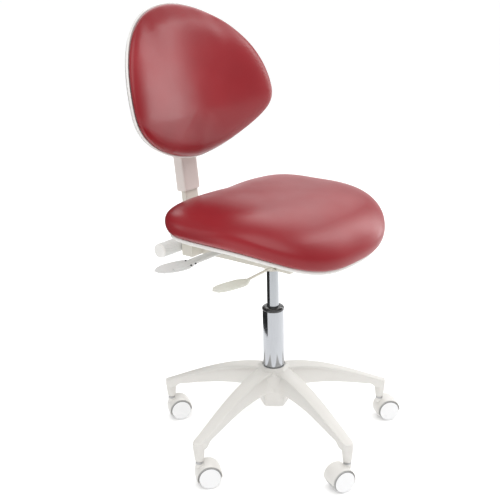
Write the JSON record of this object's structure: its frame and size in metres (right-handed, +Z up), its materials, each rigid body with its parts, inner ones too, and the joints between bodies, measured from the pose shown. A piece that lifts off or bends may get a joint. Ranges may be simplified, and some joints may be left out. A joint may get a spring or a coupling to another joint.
{
  "type": "dental stool",
  "caption": "Wheeled dental stool with gas lift, waterfall seat on a forward tilt, wing backrest on a sliding leaning bar, side levers and a clamp knob.",
  "frame": {"origin": "on the floor, on the axis of the lift column", "axes": "+Z up; the sitter faces -Y; the sitter's right hand, levers and clamp knob are towards -X"},
  "size_m": [0.571, 0.5952, 1.028],
  "materials": {
    "painted_base": "cream white glass-filled nylon moulding, satin",
    "chromed_column": "polished chrome",
    "lift_steel": "polished chrome",
    "dark_bush": "black, glossy",
    "steel": "plain steel",
    "painted_mechanism": "cream powder coat",
    "lever_plastic": "warm white, satin",
    "red_vinyl": "red vinyl-coated upholstery fabric over foam, soft sheen",
    "white_shell": "warm white, satin gloss",
    "board_wood": "raw plywood",
    "sleeve_plastic": "warm pale grey, satin",
    "knob_plastic": "warm white, ribbed",
    "caster_plastic": "warm white",
    "wheel_tread": "grey tread",
    "guide_plastic": "white guide plastic"
  },
  "bodies": {
    "base": {"base_star": "painted_base", "hub_sleeve": "guide_plastic", "column_tube": "chromed_column", "column_bush": "dark_bush", "caster_sockets": "steel", "thrust_bearing": "steel"},
    "lift_rod": {"piston_rod": "steel", "rod_clip": "steel"},
    "lift": {"gas_cylinder": "lift_steel", "cylinder_guide": "guide_plastic", "mech_housing": "painted_mechanism", "taper_socket": "painted_mechanism", "seat_pivot_pin": "steel", "back_pivot_bolt": "steel"},
    "valve": {"valve_pin": "steel"},
    "height_lever": {"height_lever_rod": "painted_mechanism", "height_lever_paddle": "lever_plastic"},
    "tilt_lever": {"tilt_lever_arm": "lever_plastic", "tilt_lever_paddle": "lever_plastic"},
    "seat": {"seat_plate": "painted_mechanism", "seat_board": "board_wood", "seat_cushion": "red_vinyl", "seat_pan": "white_shell", "seat_screws": "steel"},
    "back_bar": {"back_bar": "painted_mechanism", "ratchet_rack": "steel"},
    "knob": {"back_knob": "knob_plastic", "knob_stud": "steel"},
    "backrest": {"back_sleeve": "sleeve_plastic", "back_bracket": "painted_mechanism", "back_board": "board_wood", "back_shell": "white_shell", "back_cushion": "red_vinyl", "back_screws": "steel", "ratchet_pawl": "steel"},
    "caster_fork_1": {"caster_hood_1": "caster_plastic", "caster_stem_1": "steel", "caster_axle_1": "steel"},
    "caster_wheel_1": {"caster_wheels_1": "wheel_tread", "caster_caps_1": "caster_plastic"},
    "caster_fork_2": {"caster_hood_2": "caster_plastic", "caster_stem_2": "steel", "caster_axle_2": "steel"},
    "caster_wheel_2": {"caster_wheels_2": "wheel_tread", "caster_caps_2": "caster_plastic"},
    "caster_fork_3": {"caster_hood_3": "caster_plastic", "caster_stem_3": "steel", "caster_axle_3": "steel"},
    "caster_wheel_3": {"caster_wheels_3": "wheel_tread", "caster_caps_3": "caster_plastic"},
    "caster_fork_4": {"caster_hood_4": "caster_plastic", "caster_stem_4": "steel", "caster_axle_4": "steel"},
    "caster_wheel_4": {"caster_wheels_4": "wheel_tread", "caster_caps_4": "caster_plastic"},
    "caster_fork_5": {"caster_hood_5": "caster_plastic", "caster_stem_5": "steel", "caster_axle_5": "steel"},
    "caster_wheel_5": {"caster_wheels_5": "wheel_tread", "caster_caps_5": "caster_plastic"}
  },
  "joints": [
    {"name": "stool_swivel", "type": "hinge", "parent": "base", "child": "lift_rod", "pos_m": [0, 0, 0.099], "axis": [0, 0, 1], "continuous": true},
    {"name": "seat_lift", "type": "slide", "parent": "lift_rod", "child": "lift", "axis": [0, 0, 1], "range_m": [-0.085, 0.04]},
    {"name": "height_lever_lift", "type": "hinge", "parent": "lift", "child": "height_lever", "pos_m": [-0.028, -0.03, 0.451], "axis": [0, 1, 0], "range_deg": [0, 5], "stiffness_Nm_per_rad": 2, "springref_deg": -5.73},
    {"name": "valve_press", "type": "slide", "parent": "lift", "child": "valve", "axis": [0, 0, -1], "range_m": [0, 0.0026]},
    {"name": "seat_tilt", "type": "hinge", "parent": "lift", "child": "seat", "pos_m": [0, -0.045, 0.474], "axis": [1, 0, 0], "range_deg": [0, 6]},
    {"name": "tilt_lever_turn", "type": "hinge", "parent": "lift", "child": "tilt_lever", "pos_m": [-0.028, 0.11, 0.464], "axis": [0, 1, 0], "range_deg": [-4, 6]},
    {"name": "back_tilt", "type": "hinge", "parent": "lift", "child": "back_bar", "pos_m": [0, 0.239, 0.461], "axis": [1, 0, 0], "range_deg": [-12, 10]},
    {"name": "clamp_knob_turn", "type": "hinge", "parent": "lift", "child": "knob", "pos_m": [-0.08, 0.239, 0.461], "axis": [1, 0, 0], "continuous": true},
    {"name": "back_height", "type": "slide", "parent": "back_bar", "child": "backrest", "axis": [0, 0.1045, 0.9945], "range_m": [-0.02, 0.05]},
    {"name": "caster_swivel_1", "type": "hinge", "parent": "base", "child": "caster_fork_1", "pos_m": [0.22313, 0.16211, 0.06], "axis": [0, 0, 1], "continuous": true},
    {"name": "caster_roll_1", "type": "hinge", "parent": "caster_fork_1", "child": "caster_wheel_1", "pos_m": [0.21983, 0.18082, 0.026], "axis": [-0.9848, -0.1736, 0], "continuous": true},
    {"name": "caster_swivel_2", "type": "hinge", "parent": "base", "child": "caster_fork_2", "pos_m": [-0.08523, 0.2623, 0.06], "axis": [0, 0, 1], "continuous": true},
    {"name": "caster_roll_2", "type": "hinge", "parent": "caster_fork_2", "child": "caster_wheel_2", "pos_m": [-0.06986, 0.25113, 0.026], "axis": [0.5878, 0.809, 0], "continuous": true},
    {"name": "caster_swivel_3", "type": "hinge", "parent": "base", "child": "caster_fork_3", "pos_m": [-0.2758, 0, 0.06], "axis": [0, 0, 1], "continuous": true},
    {"name": "caster_roll_3", "type": "hinge", "parent": "caster_fork_3", "child": "caster_wheel_3", "pos_m": [-0.26125, -0.01221, 0.026], "axis": [0.6428, 0.766, 0], "continuous": true},
    {"name": "caster_swivel_4", "type": "hinge", "parent": "base", "child": "caster_fork_4", "pos_m": [-0.08523, -0.2623, 0.06], "axis": [0, 0, 1], "continuous": true},
    {"name": "caster_roll_4", "type": "hinge", "parent": "caster_fork_4", "child": "caster_wheel_4", "pos_m": [-0.1023, -0.25397, 0.026], "axis": [-0.4384, -0.8988, 0], "continuous": true},
    {"name": "caster_swivel_5", "type": "hinge", "parent": "base", "child": "caster_fork_5", "pos_m": [0.22313, -0.16211, 0.06], "axis": [0, 0, 1], "continuous": true},
    {"name": "caster_roll_5", "type": "hinge", "parent": "caster_fork_5", "child": "caster_wheel_5", "pos_m": [0.23768, -0.17432, 0.026], "axis": [0.6428, 0.766, 0], "continuous": true}
  ],
  "couplings": [
    {"joint": "valve_press", "follows": "height_lever_lift", "m_per_rad": 0.028}
  ]
}
